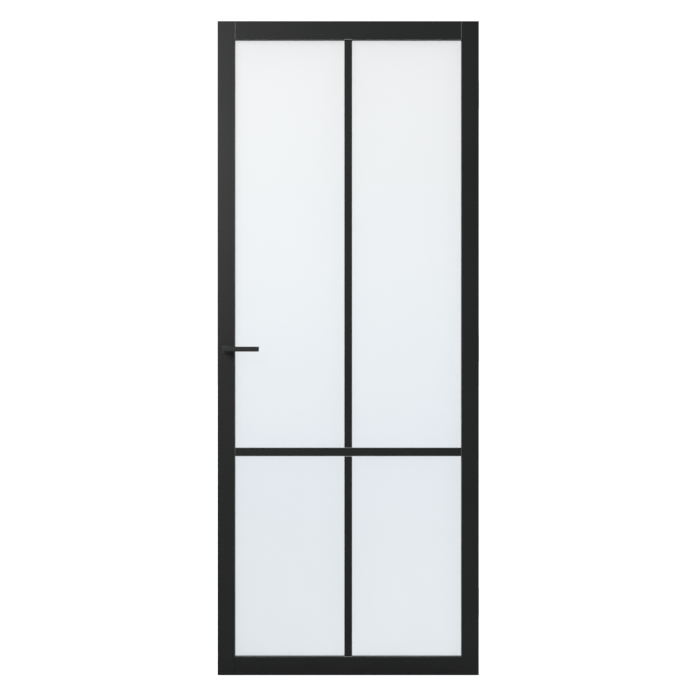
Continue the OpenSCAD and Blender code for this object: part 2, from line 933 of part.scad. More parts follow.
// The two wood screws of one rose, or their holes: side is 1 at the front
module rose_screw_set(side, grow) {
    for (s = [-1, 1])
        screw_y(side * (-half_t - rose_base_t), side,
                axis_x + s * rose_screw_at, lever_z - s * rose_screw_at,
                rose_screw_r + grow, rose_screw_head_r + grow,
                rose_screw_head_r - rose_screw_r, rose_screw_l + grow);
}

module rose_base() {
    a = rose_inner - rose_gap;
    color(steel) difference() {
        prism_y(-half_t - rose_base_t, -half_t)
            eased_rect([axis_x - a, lever_z - a], [axis_x + a, lever_z + a],
                       rose_corner_r - rose_wall, all_corners);
        bar_y(-half_t - rose_base_t - over, -half_t + over, axis_x, lever_z, bush_r + fit);
        rose_screw_set(1, fit);
    }
}

module rose_cap() {
    a = rose_a / 2;
    face_y = -half_t - rose_t;
    color(metal_black) difference() {
        intersection() {
            prism_y(face_y, -half_t)
                eased_rect([axis_x - a, lever_z - a], [axis_x + a, lever_z + a],
                           rose_corner_r, all_corners);
            prism_x(axis_x - a, axis_x + a)
                eased_rect([face_y, lever_z - a], [-half_t, lever_z + a],
                           rose_edge_r, [[-1, -1], [-1, 1]]);
            prism_z(lever_z - a, lever_z + a)
                eased_rect([axis_x - a, face_y], [axis_x + a, -half_t],
                           rose_edge_r, front_corners);
        }
        prism_y(face_y + rose_wall, -half_t + over)
            eased_rect([axis_x - rose_inner, lever_z - rose_inner],
                       [axis_x + rose_inner, lever_z + rose_inner],
                       rose_corner_r - rose_wall, all_corners);
        bar_y(face_y - over, -half_t, axis_x, lever_z, journal_r + 2 * slack);
    }
}

module rose_bush() {
    color(nylon) difference() {
        bar_y(-half_t - bush_out, -half_t + bush_in, axis_x, lever_z, bush_r);
        bar_y(-half_t - bush_out - over, -half_t + bush_in + over, axis_x, lever_z,
              journal_r + fit);
    }
}

module rose_base_front() {
    rose_base();
}

module rose_base_back() {
    back() rose_base();
}

module rose_cap_front() {
    rose_cap();
}

module rose_cap_back() {
    back() rose_cap();
}

module rose_bush_front() {
    rose_bush();
}

module rose_bush_back() {
    back() rose_bush();
}

module rose_screws() {
    color(steel) {
        rose_screw_set(1, 0);
        rose_screw_set(-1, 0);
    }
}

// ---- Hinges ----

// The foot of knuckle i, counted from 0 at the bottom: the leaf's plate has the odd ones
function knuckle_foot(z, i) =
    z - hinge_h / 2 + i * knuckle_h
    + floor((i + 1) / 2) * (washer_t + washer_gap) + floor(i / 2) * head_gap;

// A screw hole of a plate that shows its face at x0: way is the way that its screws go
module plate_hole(x0, way, y, z) {
    screw_x(x0, way, y, z, hinge_hole_r, hinge_screw_head_r + fit,
            screw_sink, plate_t + over);
    edge = x0 - way * over;
    bar_x(min(x0, edge), max(x0, edge), y, z, hinge_screw_head_r + fit);
}

// A hinge plate on one side of the pin, with its knuckles: side is 1 for the frame's plate
module hinge_plate(z, side, own) {
    near = pin_x + side * hinge_gap / 2;
    far = near + side * plate_t;
    low = [min(near, far), plate_low_y, z - hinge_h / 2];
    color(metal_black) difference() {
        union() {
            box(low, [max(near, far), plate_high_y, z + hinge_h / 2]);
            for (i = own) {
                foot = knuckle_foot(z, i);
                box([low[0], plate_high_y - over, foot],
                    [max(near, far), pin_y - pin_r, foot + knuckle_h]);
                bar_z(foot, foot + knuckle_h, pin_x, pin_y, knuckle_r);
            }
        }
        bar_z(z - hinge_h / 2 - over, z + hinge_h / 2 + over, pin_x, pin_y, pin_r + fit);
        for (dy = [-1, 1])
            for (dz = [-1, 1])
                plate_hole(near, side, screw_y + dy * screw_step_y / 2,
                           z + dz * screw_step_z / 2);
    }
}

module hinge_leaf_plate(z) {
    hinge_plate(z, -1, [1, 3]);
}

module hinge_frame_plate(z) {
    hinge_plate(z, 1, [0, 2, 4]);
}

module hinge_pin(z) {
    low = z - hinge_h / 2;
    high = z + hinge_h / 2;
    thin = pin_head_r - pin_head_edge;
    color(metal_black) {
        bar_z(low - pin_head_h / 2, high + pin_head_h / 2, pin_x, pin_y, pin_r);
        bar_z(high, high + pin_head_h - pin_head_edge, pin_x, pin_y, pin_head_r);
        bar_z(high + pin_head_h - pin_head_edge, high + pin_head_h, pin_x, pin_y,
              pin_head_r, thin);
        bar_z(low - pin_head_h + pin_head_edge, low, pin_x, pin_y, pin_head_r);
        bar_z(low - pin_head_h, low - pin_head_h + pin_head_edge, pin_x, pin_y,
              thin, pin_head_r);
    }
}

module hinge_leaf_plate_top() {
    hinge_leaf_plate(hinge_top);
}

module hinge_leaf_plate_middle() {
    hinge_leaf_plate(hinge_middle);
}

module hinge_leaf_plate_bottom() {
    hinge_leaf_plate(hinge_low);
}

module hinge_frame_plate_top() {
    hinge_frame_plate(hinge_top);
}

module hinge_frame_plate_middle() {
    hinge_frame_plate(hinge_middle);
}

module hinge_frame_plate_bottom() {
    hinge_frame_plate(hinge_low);
}

module hinge_pin_top() {
    hinge_pin(hinge_top);
}

module hinge_pin_middle() {
    hinge_pin(hinge_middle);
}

module hinge_pin_bottom() {
    hinge_pin(hinge_low);
}

// A bearing washer under each knuckle of the leaf's plates
module hinge_washers() {
    color(nylon) for (z = hinge_places)
        for (i = [1, 3]) {
            foot = knuckle_foot(z, i);
            difference() {
                bar_z(foot - washer_t, foot, pin_x, pin_y, knuckle_r - slack);
                bar_z(foot - washer_t - over, foot + over, pin_x, pin_y, pin_r + slack);
            }
        }
}

// The screws of the leaf's plate at height z, or their holes in the timber
module hinge_screw_set(z, grow) {
    for (dy = [-1, 1])
        for (dz = [-1, 1])
            screw_x(half_w, -1, screw_y + dy * screw_step_y / 2, z + dz * screw_step_z / 2,
                    hinge_screw_r + grow, hinge_screw_head_r + grow,
                    screw_sink, hinge_screw_l + grow);
}

module hinge_screws() {
    color(metal_black) for (z = hinge_places) hinge_screw_set(z, 0);
}

lock_stile();
hinge_stile();
top_rail();
bottom_rail();
corner_dowels();
glass_pane();
glazing_tape_front();
glazing_tape_back();
setting_blocks();
glazing_bead_left();
glazing_bead_right();
glazing_bead_top();
glazing_bead_bottom();
bead_pins();
cross_bar_front();
cross_bar_back();
upper_bar_front();
upper_bar_back();
lower_bar_front();
lower_bar_back();
bar_tapes_front();
bar_tapes_back();
lock_case();
lock_cover();
case_screws();
lock_forend();
forend_screws();
latch_bolt();
latch_magnet();
latch_collar();
latch_spring();
follower();
return_spring();
spindle();
lever_front();
lever_back();
grub_screws();
rose_base_front();
rose_base_back();
rose_cap_front();
rose_cap_back();
rose_bush_front();
rose_bush_back();
rose_screws();
hinge_leaf_plate_top();
hinge_leaf_plate_middle();
hinge_leaf_plate_bottom();
hinge_frame_plate_top();
hinge_frame_plate_middle();
hinge_frame_plate_bottom();
hinge_pin_top();
hinge_pin_middle();
hinge_pin_bottom();
hinge_washers();
hinge_screws();
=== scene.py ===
# %% [markdown]
# # A glazed door leaf, finished and lit
#
# The object is an interior door: a slim black frame of timber round one satin pane, black bars
# on both faces of the glass, a bar lever on a small square rose, and three butt hinges. Its solid
# parts were drawn in CAD. This script loads them, gives each one the finish of the real piece,
# makes the pieces whose curves matter most anew, and sets up a soft studio round the door.
#
# All lengths are in metres. X runs along the door's width towards the hinges, Y from its front
# face to its back face, and Z up.

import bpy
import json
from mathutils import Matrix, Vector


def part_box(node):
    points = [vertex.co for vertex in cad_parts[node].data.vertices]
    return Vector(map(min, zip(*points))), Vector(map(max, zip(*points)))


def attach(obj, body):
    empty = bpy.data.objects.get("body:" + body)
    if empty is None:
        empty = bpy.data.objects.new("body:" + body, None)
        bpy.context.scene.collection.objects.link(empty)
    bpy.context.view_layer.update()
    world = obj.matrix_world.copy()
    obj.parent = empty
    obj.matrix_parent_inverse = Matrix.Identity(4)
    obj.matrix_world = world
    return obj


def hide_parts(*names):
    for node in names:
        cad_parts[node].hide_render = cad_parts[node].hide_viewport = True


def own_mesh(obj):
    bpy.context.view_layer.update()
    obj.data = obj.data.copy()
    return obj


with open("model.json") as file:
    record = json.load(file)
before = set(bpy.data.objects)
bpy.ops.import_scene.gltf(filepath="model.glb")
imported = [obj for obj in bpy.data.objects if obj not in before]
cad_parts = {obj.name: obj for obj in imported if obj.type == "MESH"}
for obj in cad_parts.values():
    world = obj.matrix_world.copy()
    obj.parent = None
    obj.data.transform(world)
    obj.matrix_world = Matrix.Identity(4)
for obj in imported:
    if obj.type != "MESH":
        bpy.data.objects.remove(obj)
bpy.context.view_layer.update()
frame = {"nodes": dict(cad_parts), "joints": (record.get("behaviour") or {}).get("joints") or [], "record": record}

# %% Modules and small values
import json
import math

import bpy
import numpy as np

mm = 0.001
scene = bpy.context.scene
nodes = frame["nodes"]
joints = {joint["name"]: joint for joint in frame["joints"]}

# %% [markdown]
# ## Building with nodes
#
# A procedural material is a graph of nodes. Making each node takes the same three steps: add it,
# set its options, and plug its inputs. One helper does all three, so that the cells below read
# as a list of what each finish is made of.

# %% Node helpers
def add(tree, kind, plugs=None, **options):
    """Adds a node, sets its options, and gives each named input a number, a colour or a link."""
    made = tree.nodes.new(kind)
    for name, value in options.items():
        setattr(made, name, value)
    for name, value in (plugs or {}).items():
        if isinstance(value, bpy.types.NodeSocket):
            tree.links.new(value, made.inputs[name])
        else:
            made.inputs[name].default_value = value
    return made


def reckon(tree, operation, first, second=0.0, third=0.0):
    """The output of a Math node."""
    plugs = {0: first, 1: second, 2: third}
    return add(tree, "ShaderNodeMath", plugs, operation=operation).outputs[0]


def spread(tree, value, low, high, to_low, to_high):
    """Maps the span from low to high onto the span from to_low to to_high, and stops at its ends."""
    plugs = {"Value": value, "From Min": low, "From Max": high, "To Min": to_low, "To Max": to_high}
    return add(tree, "ShaderNodeMapRange", plugs).outputs["Result"]


def blend_colours(tree, share, first, second):
    """Mixes two colours: the first where share is 0, the second where it is 1."""
    made = add(tree, "ShaderNodeMix", data_type="RGBA")
    for socket, value in zip((made.inputs[0], made.inputs[6], made.inputs[7]), (share, first, second)):
        if isinstance(value, bpy.types.NodeSocket):
            tree.links.new(value, socket)
        else:
            socket.default_value = value
    return made.outputs[2]


def shader_group(name, takes, gives):
    """A new node group with named sockets: returns its tree, its inputs and its output node."""
    tree = bpy.data.node_groups.new(name, "ShaderNodeTree")
    for label, kind in takes.items():
        tree.interface.new_socket(name=label, in_out="INPUT", socket_type=f"NodeSocket{kind}")
    for label, kind in gives.items():
        tree.interface.new_socket(name=label, in_out="OUTPUT", socket_type=f"NodeSocket{kind}")
    return tree, tree.nodes.new("NodeGroupInput").outputs, tree.nodes.new("NodeGroupOutput")


def place(tree, group, **plugs):
    """Places a node group in a material, with its own values: returns the group's outputs."""
    made = add(tree, "ShaderNodeGroup", node_tree=group)
    for label, value in plugs.items():
        socket = made.inputs[label.replace("_", " ")]
        if isinstance(value, bpy.types.NodeSocket):
            tree.links.new(value, socket)
        else:
            socket.default_value = value
    return made.outputs


print("node helpers are ready")

# %% [markdown]
# ## Effects that several finishes share
#
# Real coatings are never perfectly even. Three effects turn up on almost every piece of a door:
# the film of paint has a fine ripple, its colour and gloss drift a little over a hand's breadth,
# and a band along the edges is paler: worn smooth by hands on most pieces, and a painted
# highlight on the roses' rims. Each is a node group that is built once and placed in every
# material that needs it, with other values each time.
#
# All three read Object coordinates. Every piece sits at the origin with its place in its mesh, so
# these coordinates are the door's own, in metres, and a pattern stays put when the door swings.

# %% Film: ripple and long grain under a coat of paint
fibre_share = 0.6  # how high the fibres stand beside the ripple
film, takes, gives = shader_group(
    "Paint film",
    {"Place": "Vector", "Ripple": "Float", "Grain": "Vector"},
    {"Height": "Float", "Fibre": "Float"},
)
ripple_noise = add(
    film, "ShaderNodeTexNoise",
    {"Vector": takes["Place"], "Scale": takes["Ripple"], "Detail": 2.0, "Roughness": 0.5},
)
along_grain = add(
    film, "ShaderNodeVectorMath", {0: takes["Place"], 1: takes["Grain"]}, operation="MULTIPLY"
)
fibre_noise = add(
    film, "ShaderNodeTexNoise",
    {"Vector": along_grain.outputs[0], "Scale": 1.0, "Detail": 4.0, "Roughness": 0.6},
)
fibre = spread(film, fibre_noise.outputs["Fac"], 0.35, 0.65, 0.0, 1.0)
height = reckon(film, "MULTIPLY_ADD", fibre, fibre_share, ripple_noise.outputs["Fac"])
film.links.new(height, gives.inputs["Height"])
film.links.new(fibre, gives.inputs["Fibre"])
print("Paint film has", len(film.nodes), "nodes")

# %% Drift: broad, soft changes of tone and gloss
gloss_shift = 7.0  # metres away from the tone's pattern, so that the two don't run together
drift, takes, gives = shader_group(
    "Drift", {"Place": "Vector", "Size": "Float"}, {"Tone": "Float", "Gloss": "Float"}
)
for label, shift in (("Tone", 0.0), ("Gloss", gloss_shift)):
    moved = add(
        drift, "ShaderNodeVectorMath",
        {0: takes["Place"], 1: (shift, -shift, shift)}, operation="ADD",
    )
    cloud = add(
        drift, "ShaderNodeTexNoise",
        {"Vector": moved.outputs[0], "Scale": reckon(drift, "DIVIDE", 1.0, takes["Size"]),
         "Detail": 3.0, "Roughness": 0.55},
    )
    even = spread(drift, cloud.outputs["Fac"], 0.3, 0.7, 0.0, 1.0)
    drift.links.new(even, gives.inputs[label])
print("Drift has", len(drift.nodes), "nodes")

# %% [markdown]
# The band along the edges, worn coat on most pieces and a painted highlight on the roses' rims,
# needs to know where the edges are. The pieces of a door are long boxes, so there is a cheap way:
# for a point on a box, take its distance from the nearest face in each of the three directions.
# On a face one of the three is nought. Near an edge the middle one of the three is small too, and
# near a corner all are. The middle one is therefore the distance to the edge.

# %% Edge band: wear, and the roses' painted highlight
patches = 45.0  # patches of the band in a metre of edge
least_band = 0.25  # what is left of the band between them
edge_band, takes, gives = shader_group(
    "Rubbed edges",
    {"Place": "Vector", "Low corner": "Vector", "High corner": "Vector", "Width": "Float"},
    {"Rub": "Float"},
)
from_low = add(
    edge_band, "ShaderNodeVectorMath", {0: takes["Place"], 1: takes["Low corner"]}, operation="SUBTRACT"
)
from_high = add(
    edge_band, "ShaderNodeVectorMath", {0: takes["High corner"], 1: takes["Place"]}, operation="SUBTRACT"
)
nearest = add(
    edge_band, "ShaderNodeVectorMath", {0: from_low.outputs[0], 1: from_high.outputs[0]},
    operation="MINIMUM",
)
gap = add(edge_band, "ShaderNodeSeparateXYZ", {0: nearest.outputs[0]}).outputs
less = reckon(edge_band, "MINIMUM", gap[0], gap[1])
more = reckon(edge_band, "MAXIMUM", gap[0], gap[1])
middle = reckon(edge_band, "MAXIMUM", less, reckon(edge_band, "MINIMUM", more, gap[2]))
near_edge = add(
    edge_band, "ShaderNodeMapRange",
    {"Value": middle, "From Min": takes["Width"], "From Max": 0.0},
    interpolation_type="SMOOTHSTEP",
).outputs["Result"]
patchy = add(edge_band, "ShaderNodeTexNoise", {"Vector": takes["Place"], "Scale": patches, "Detail": 4.0})
kept = spread(edge_band, patchy.outputs["Fac"], 0.4, 0.6, least_band, 1.0)
edge_band.links.new(reckon(edge_band, "MULTIPLY", near_edge, kept), gives.inputs["Rub"])
print("Rubbed edges has", len(edge_band.nodes), "nodes")

# %% [markdown]
# ## Finishes
#
# Every material starts the same way, with a Principled shader and the door's own coordinates.
# What stays the same all over a surface, such as how strongly it mirrors at a right angle, is
# set on the shader itself. What changes from place to place comes in through a link.

# %% Starting a finish
def start_finish(name, **fixed):
    """A new material: returns it, its tree, its Principled shader and the object coordinates."""
    finish = bpy.data.materials.new(name)
    finish.use_nodes = True
    tree = finish.node_tree
    tree.nodes.clear()
    shader = add(tree, "ShaderNodeBsdfPrincipled")
    for label, value in fixed.items():
        shader.inputs[label.replace("_", " ")].default_value = value
    output = add(tree, "ShaderNodeOutputMaterial", {"Surface": shader.outputs[0]})
    output.target = "ALL"
    return finish, tree, shader, add(tree, "ShaderNodeTexCoord").outputs["Object"]


def relief(tree, shader, height, depth):
    """Raises the surface by height times depth, in metres, without adding any faces."""
    bump = add(tree, "ShaderNodeBump", {"Height": height, "Distance": depth, "Strength": 1.0})
    tree.links.new(bump.outputs[0], shader.inputs["Normal"])


def coat_node(name, finish):
    """Gives a CAD node its finish."""
    mesh = nodes[name].data
    mesh.materials.clear()
    mesh.materials.append(finish)


print("finishes can start")

# %% [markdown]
# ### Black lacquer on timber
#
# The stiles, rails, beads and glazing bars are sprayed with a satin black. Close up, the film
# shows the fine ripple that sprayers call orange peel and a trace of the grain beneath, which
# runs up the stiles and along the rails. The film is rubbed a touch lighter and glossier where
# hands and the jamb meet its edges.
#
# Where the end of a rail or bar meets its neighbour, a pale hairline is painted in the joint: a
# painted highlight for the light that the joint catches, palest where the joint runs across, at
# the ends of the upright bars. It is found by the distance along the piece from its nearer end.
# The top rail has two pairs of ends, because its back reaches further, into the rebates behind
# the stiles' lips.
#
# One function makes this finish for each piece, because the grain's direction and the places of
# the edges and joints differ from piece to piece.

# %% Joint lines
crisp_share = 0.7  # the line is full up to this share of its width, and then fades
joint_lines, takes, gives = shader_group(
    "Joint line",
    {"Place": "Vector", "Low end": "Vector", "High end": "Vector", "Along": "Vector", "Width": "Float"},
    {"Line": "Float"},
)
gaps = []
for first, second in (("Place", "Low end"), ("High end", "Place")):
    apart = add(
        joint_lines, "ShaderNodeVectorMath", {0: takes[first], 1: takes[second]}, operation="SUBTRACT"
    )
    gaps.append(add(
        joint_lines, "ShaderNodeVectorMath", {0: apart.outputs[0], 1: takes["Along"]},
        operation="DOT_PRODUCT",
    ).outputs["Value"])
to_end = reckon(joint_lines, "MINIMUM", gaps[0], gaps[1])
soft_start = reckon(joint_lines, "MULTIPLY", takes["Width"], crisp_share)
line = add(
    joint_lines, "ShaderNodeMapRange",
    {"Value": to_end, "From Min": takes["Width"], "From Max": soft_start},
).outputs["Result"]
joint_lines.links.new(line, gives.inputs["Line"])
print("Joint line has", len(joint_lines.nodes), "nodes")

# %% Black lacquer
lacquer_dark = (0.0090, 0.0100, 0.0102, 1.0)
lacquer_light = (0.0125, 0.0135, 0.0137, 1.0)
lacquer_rubbed = (0.030, 0.031, 0.031, 1.0)
grain_along = 14.0  # fibres in a metre, lengthwise
grain_across = 900.0  # and crosswise
upright = (grain_across, grain_across, grain_along)
level = (grain_along, grain_across, grain_across)
orange_peel = 420.0  # ripples in a metre
lacquer_drift = 0.35  # metres from one soft cloud of tone to the next
lacquer_rub = 2.2 * mm
lacquer_worn = 0.25  # how far the rub goes, where 1 is all the way
lacquer_rough = (0.43, 0.48)
level_matter = 0.06  # the rails and cross bars are sprayed a touch drier
joint_highlight_width = 1.5 * mm
face_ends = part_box("cross_bar_front")  # the rails' front faces end where the cross bar does


def black_lacquer(piece, grain, joint_highlight=0.0):
    """The lacquer on one timber piece, with its grain, and the tone of the painted highlight in its joint lines.
    """
    finish, tree, shader, at = start_finish(f"black_lacquer_{piece}", IOR=1.5)
    low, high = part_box(piece)
    paint = place(tree, film, Place=at, Ripple=orange_peel, Grain=grain)
    broad = place(tree, drift, Place=at, Size=lacquer_drift)
    edges = place(tree, edge_band, Place=at, Low_corner=low, High_corner=high, Width=lacquer_rub)
    colour = blend_colours(tree, broad["Tone"], lacquer_dark, lacquer_light)
    edge_share = reckon(tree, "MULTIPLY", edges["Rub"], lacquer_worn)
    colour = blend_colours(tree, edge_share, colour, lacquer_rubbed)
    if joint_highlight:
        along = (0, 0, 1) if grain is upright else (1, 0, 0)
        joint = place(tree, joint_lines, Place=at, Low_end=low, High_end=high,
                      Along=along, Width=joint_highlight_width)["Line"]
        if piece == "top_rail":
            lip = place(tree, joint_lines, Place=at, Low_end=face_ends[0], High_end=face_ends[1],
                        Along=along, Width=joint_highlight_width)["Line"]
            depth = add(tree, "ShaderNodeSeparateXYZ", {0: at}).outputs[1]
            in_front = reckon(tree, "LESS_THAN", depth, face_ends[1].y)
            joint = reckon(tree, "MULTIPLY_ADD", lip, in_front, joint)
        # The joint line is a painted highlight, in this pale grey.
        highlight_colour = (joint_highlight, joint_highlight, joint_highlight, 1.0)
        colour = blend_colours(tree, joint, colour, highlight_colour)
    tree.links.new(colour, shader.inputs["Base Color"])
    matter = 0.0 if grain is upright else level_matter
    smooth, rough = (value + matter for value in lacquer_rough)
    rough = spread(tree, broad["Gloss"], 0.0, 1.0, smooth, rough)
    rough = reckon(tree, "MULTIPLY_ADD", edge_share, -0.16, rough)
    rough = reckon(tree, "MULTIPLY_ADD", paint["Fibre"], 0.03, rough)
    tree.links.new(rough, shader.inputs["Roughness"])
    relief(tree, shader, paint["Height"], 0.02 * mm)
    return finish


upright_pieces = [
    "lock_stile", "hinge_stile", "glazing_bead_left", "glazing_bead_right",
    "upper_bar_front", "upper_bar_back", "lower_bar_front", "lower_bar_back",
]
level_pieces = [
    "top_rail", "bottom_rail", "glazing_bead_top", "glazing_bead_bottom",
    "cross_bar_front", "cross_bar_back",
]
# How pale each piece's painted joint highlight is: palest at the ends of the upright bars, whose joints run
# across.
joint_highlight_tone = {
    "top_rail": 0.35, "cross_bar_front": 0.25, "cross_bar_back": 0.25,
    "upper_bar_front": 0.70, "upper_bar_back": 0.70, "lower_bar_front": 0.70, "lower_bar_back": 0.70,
}
for piece in upright_pieces:
    coat_node(piece, black_lacquer(piece, upright, joint_highlight_tone.get(piece, 0.0)))
for piece in level_pieces:
    coat_node(piece, black_lacquer(piece, level, joint_highlight_tone.get(piece, 0.0)))
print(len(upright_pieces) + len(level_pieces), "timber pieces are lacquered")

# %% [markdown]
# ### Satin glass
#
# The pane is 8 mm glass with a faint cool tint, etched with acid until both its faces are satin.
# Light passes through, but each face scatters it, so the pane glows evenly and hides what is
# behind it. The etch is a fine, even frost. It is a little deeper in some places than in others,
# and along the beads a narrow rim is a touch greyer.
#
# The pane casts no shadow, so lamps light what is behind it, as they do through a real window.
# Tracing light that is bent by glass would need many more samples for the same look. The beads
# and bars on its back face don't show through it: rays that go through the pane pass them by.

# %% Satin glass
satin_tint = (0.772, 0.790, 0.800, 1.0)
satin_rim = (0.758, 0.777, 0.788, 1.0)
rim_width = 18 * mm
etch_depth = 0.01 * mm
frost_grains = 1800.0  # in a metre
finish, tree, shader, at = start_finish("satin_glass", IOR=1.5, Metallic=0.0, Transmission_Weight=1.0)
low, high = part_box("glass_pane")
broad = place(tree, drift, Place=at, Size=0.5)
rim = place(tree, edge_band, Place=at, Low_corner=low, High_corner=high, Width=rim_width)
colour = blend_colours(tree, rim["Rub"], satin_tint, satin_rim)
tree.links.new(colour, shader.inputs["Base Color"])
etch = spread(tree, broad["Gloss"], 0.0, 1.0, 0.44, 0.50)
tree.links.new(etch, shader.inputs["Roughness"])
frost = add(tree, "ShaderNodeTexNoise", {"Vector": at, "Scale": frost_grains, "Detail": 2.0})
relief(tree, shader, frost.outputs["Fac"], etch_depth)
coat_node("glass_pane", finish)
nodes["glass_pane"].visible_shadow = False
hidden_behind = [
    "glazing_bead_left", "glazing_bead_right", "glazing_bead_top", "glazing_bead_bottom",
    "cross_bar_back", "upper_bar_back", "lower_bar_back", "glazing_tape_back", "bar_tapes_back",
    "bead_pins",
]
for piece in hidden_behind:
    nodes[piece].visible_transmission = False
pane_thickness = round((high.y - low.y) / mm, 1)
print("the pane is", pane_thickness, "mm thick, and hides", len(hidden_behind), "pieces")

# %% [markdown]
# ### Powder coat on metal
#
# The lever, roses, faceplate and hinges are coated with black powder that is melted on in an
# oven. It flows into a fine, even pebble that is rougher than lacquer and a little greyer.

# %% Powder coat
powder_dark = (0.016, 0.0165, 0.017, 1.0)
powder_light = (0.024, 0.0245, 0.025, 1.0)
powder_rubbed = (0.050, 0.050, 0.050, 1.0)
rose_rim_highlight = (0.20, 0.20, 0.20, 1.0)  # partly wear from keys and rings, mostly a painted highlight along the rose's rim
powder_grains = 1600.0  # in a metre
powder_drift = 0.03
powder_edge_width = 1.5 * mm
powder_edge_share = 0.6


def powder_coat(name, pieces, edge_wear_and_highlight=powder_rubbed):
    """Black powder coat for the listed CAD nodes, with a paler band along the edges of their shared box in the
    given edge colour: worn coat on most pieces, a painted highlight on the roses' rims.
    """
    finish, tree, shader, at = start_finish(name, IOR=1.5)
    boxes = [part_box(piece) for piece in pieces]
    low = [min(box[0][i] for box in boxes) for i in range(3)]
    high = [max(box[1][i] for box in boxes) for i in range(3)]
    pebble = add(
        tree, "ShaderNodeTexVoronoi", {"Vector": at, "Scale": powder_grains}, feature="SMOOTH_F1"
    ).outputs["Distance"]
    broad = place(tree, drift, Place=at, Size=powder_drift)
    edges = place(tree, edge_band, Place=at, Low_corner=low, High_corner=high, Width=powder_edge_width)
    colour = blend_colours(tree, broad["Tone"], powder_dark, powder_light)
    # The paler band along the edges is worn coat, and on the roses a painted highlight.
    edge_share = reckon(tree, "MULTIPLY", edges["Rub"], powder_edge_share)
    colour = blend_colours(tree, edge_share, colour, edge_wear_and_highlight)
    tree.links.new(colour, shader.inputs["Base Color"])
    rough = spread(tree, broad["Gloss"], 0.0, 1.0, 0.50, 0.58)
    rough = reckon(tree, "MULTIPLY_ADD", edge_share, -0.2, rough)
    tree.links.new(rough, shader.inputs["Roughness"])
    relief(tree, shader, pebble, 0.03 * mm)
    return finish


hinge_finishes = {}
for height_name in ("top", "middle", "bottom"):
    plates = [f"hinge_leaf_plate_{height_name}", f"hinge_frame_plate_{height_name}"]
    hinge_finishes[height_name] = powder_coat(f"black_metal_hinge_{height_name}", plates)
    for piece in plates:
        coat_node(piece, hinge_finishes[height_name])
faceplate_finish = powder_coat("black_metal_faceplate", ["lock_forend"])
coat_node("lock_forend", faceplate_finish)
coat_node("forend_screws", faceplate_finish)
lever_finishes = {
    face: powder_coat(f"black_metal_lever_{face}", [f"lever_{face}"]) for face in ("front", "back")
}
# The roses' rims are painted paler: a painted highlight, on top of light wear.
rose_finishes = {
    face: powder_coat(f"black_metal_rose_{face}", [f"rose_cap_{face}"], rose_rim_highlight)
    for face in ("front", "back")
}
coat_node("grub_screws", lever_finishes["front"])
screw_finish = powder_coat("black_metal_screws", ["case_screws"])
coat_node("case_screws", screw_finish)
coat_node("latch_collar", screw_finish)
print(len(bpy.data.materials), "materials so far")

# %% [markdown]
# ### Plated and spring steel
#
# The latch works are zinc-plated steel: pale, softly brushed metal. Springs are darker, drawn
# wire. A metal's colour is the colour of its reflection, so both are fully metallic, and only
# their gloss and tone vary.

# %% Steel
def steel(name, tone, bright, rough_low, rough_high, brushed):
    """Bare or plated steel: brushed is the number of scratches in a metre along X, Y and Z."""
    finish, tree, shader, at = start_finish(name, Metallic=1.0)
    lines = place(tree, film, Place=at, Ripple=300.0, Grain=brushed)
    broad = place(tree, drift, Place=at, Size=0.02)
    tree.links.new(blend_colours(tree, broad["Tone"], tone, bright), shader.inputs["Base Color"])
    rough = spread(tree, lines["Fibre"], 0.0, 1.0, rough_low, rough_high)
    tree.links.new(rough, shader.inputs["Roughness"])
    relief(tree, shader, lines["Height"], 0.004 * mm)
    return finish


plated = steel(
    "plated_steel", tone=(0.50, 0.50, 0.49, 1), bright=(0.62, 0.62, 0.61, 1),
    rough_low=0.24, rough_high=0.40, brushed=(3000, 3000, 60),
)
wire_steel = steel(
    "spring_steel", tone=(0.20, 0.21, 0.22, 1), bright=(0.30, 0.31, 0.32, 1),
    rough_low=0.28, rough_high=0.42, brushed=(500, 500, 500),
)
for piece in (
    "bead_pins", "lock_case", "lock_cover", "latch_bolt", "follower", "spindle",
    "rose_base_front", "rose_base_back", "rose_screws",
):
    coat_node(piece, plated)
for piece in ("latch_spring", "return_spring", "latch_magnet"):
    coat_node(piece, wire_steel)
print("steel finishes are on")

# %% [markdown]
# ### Nylon, foam tape and beech
#
# Nylon bushes and blocks are off-white and waxy. The glazing tape is a dense grey foam with open
# cells at its cut edge. The dowels are turned from beech, a pale wood with short dark flecks.

# %% Nylon
nylon_dull = (0.56, 0.54, 0.48, 1)
nylon_fresh = (0.66, 0.64, 0.59, 1)
finish, tree, shader, at = start_finish("nylon", IOR=1.53)
broad = place(tree, drift, Place=at, Size=0.02)
colour = blend_colours(tree, broad["Tone"], nylon_dull, nylon_fresh)
tree.links.new(colour, shader.inputs["Base Color"])
tree.links.new(spread(tree, broad["Gloss"], 0.0, 1.0, 0.36, 0.48), shader.inputs["Roughness"])
for piece in ("setting_blocks", "rose_bush_front", "rose_bush_back", "hinge_washers"):
    coat_node(piece, finish)
print("nylon is on", finish.name)

# %% Foam tape
# The cells' hollows are painted darker than their walls: painted shade in the pores.
cell_dark = (0.012, 0.012, 0.013, 1)
cell_wall = (0.04, 0.04, 0.042, 1)
cells_in_metre = 2200.0
finish, tree, shader, at = start_finish("glazing_tape", IOR=1.45)
cells = add(tree, "ShaderNodeTexVoronoi", {"Vector": at, "Scale": cells_in_metre}).outputs["Distance"]
colour = blend_colours(tree, spread(tree, cells, 0.0, 0.6, 0.0, 1.0), cell_dark, cell_wall)
tree.links.new(colour, shader.inputs["Base Color"])
tree.links.new(spread(tree, cells, 0.0, 0.6, 0.95, 0.75), shader.inputs["Roughness"])
relief(tree, shader, cells, 0.2 * mm)
for piece in ("glazing_tape_front", "glazing_tape_back", "bar_tapes_front", "bar_tapes_back"):
    coat_node(piece, finish)
print("foam tape is on")

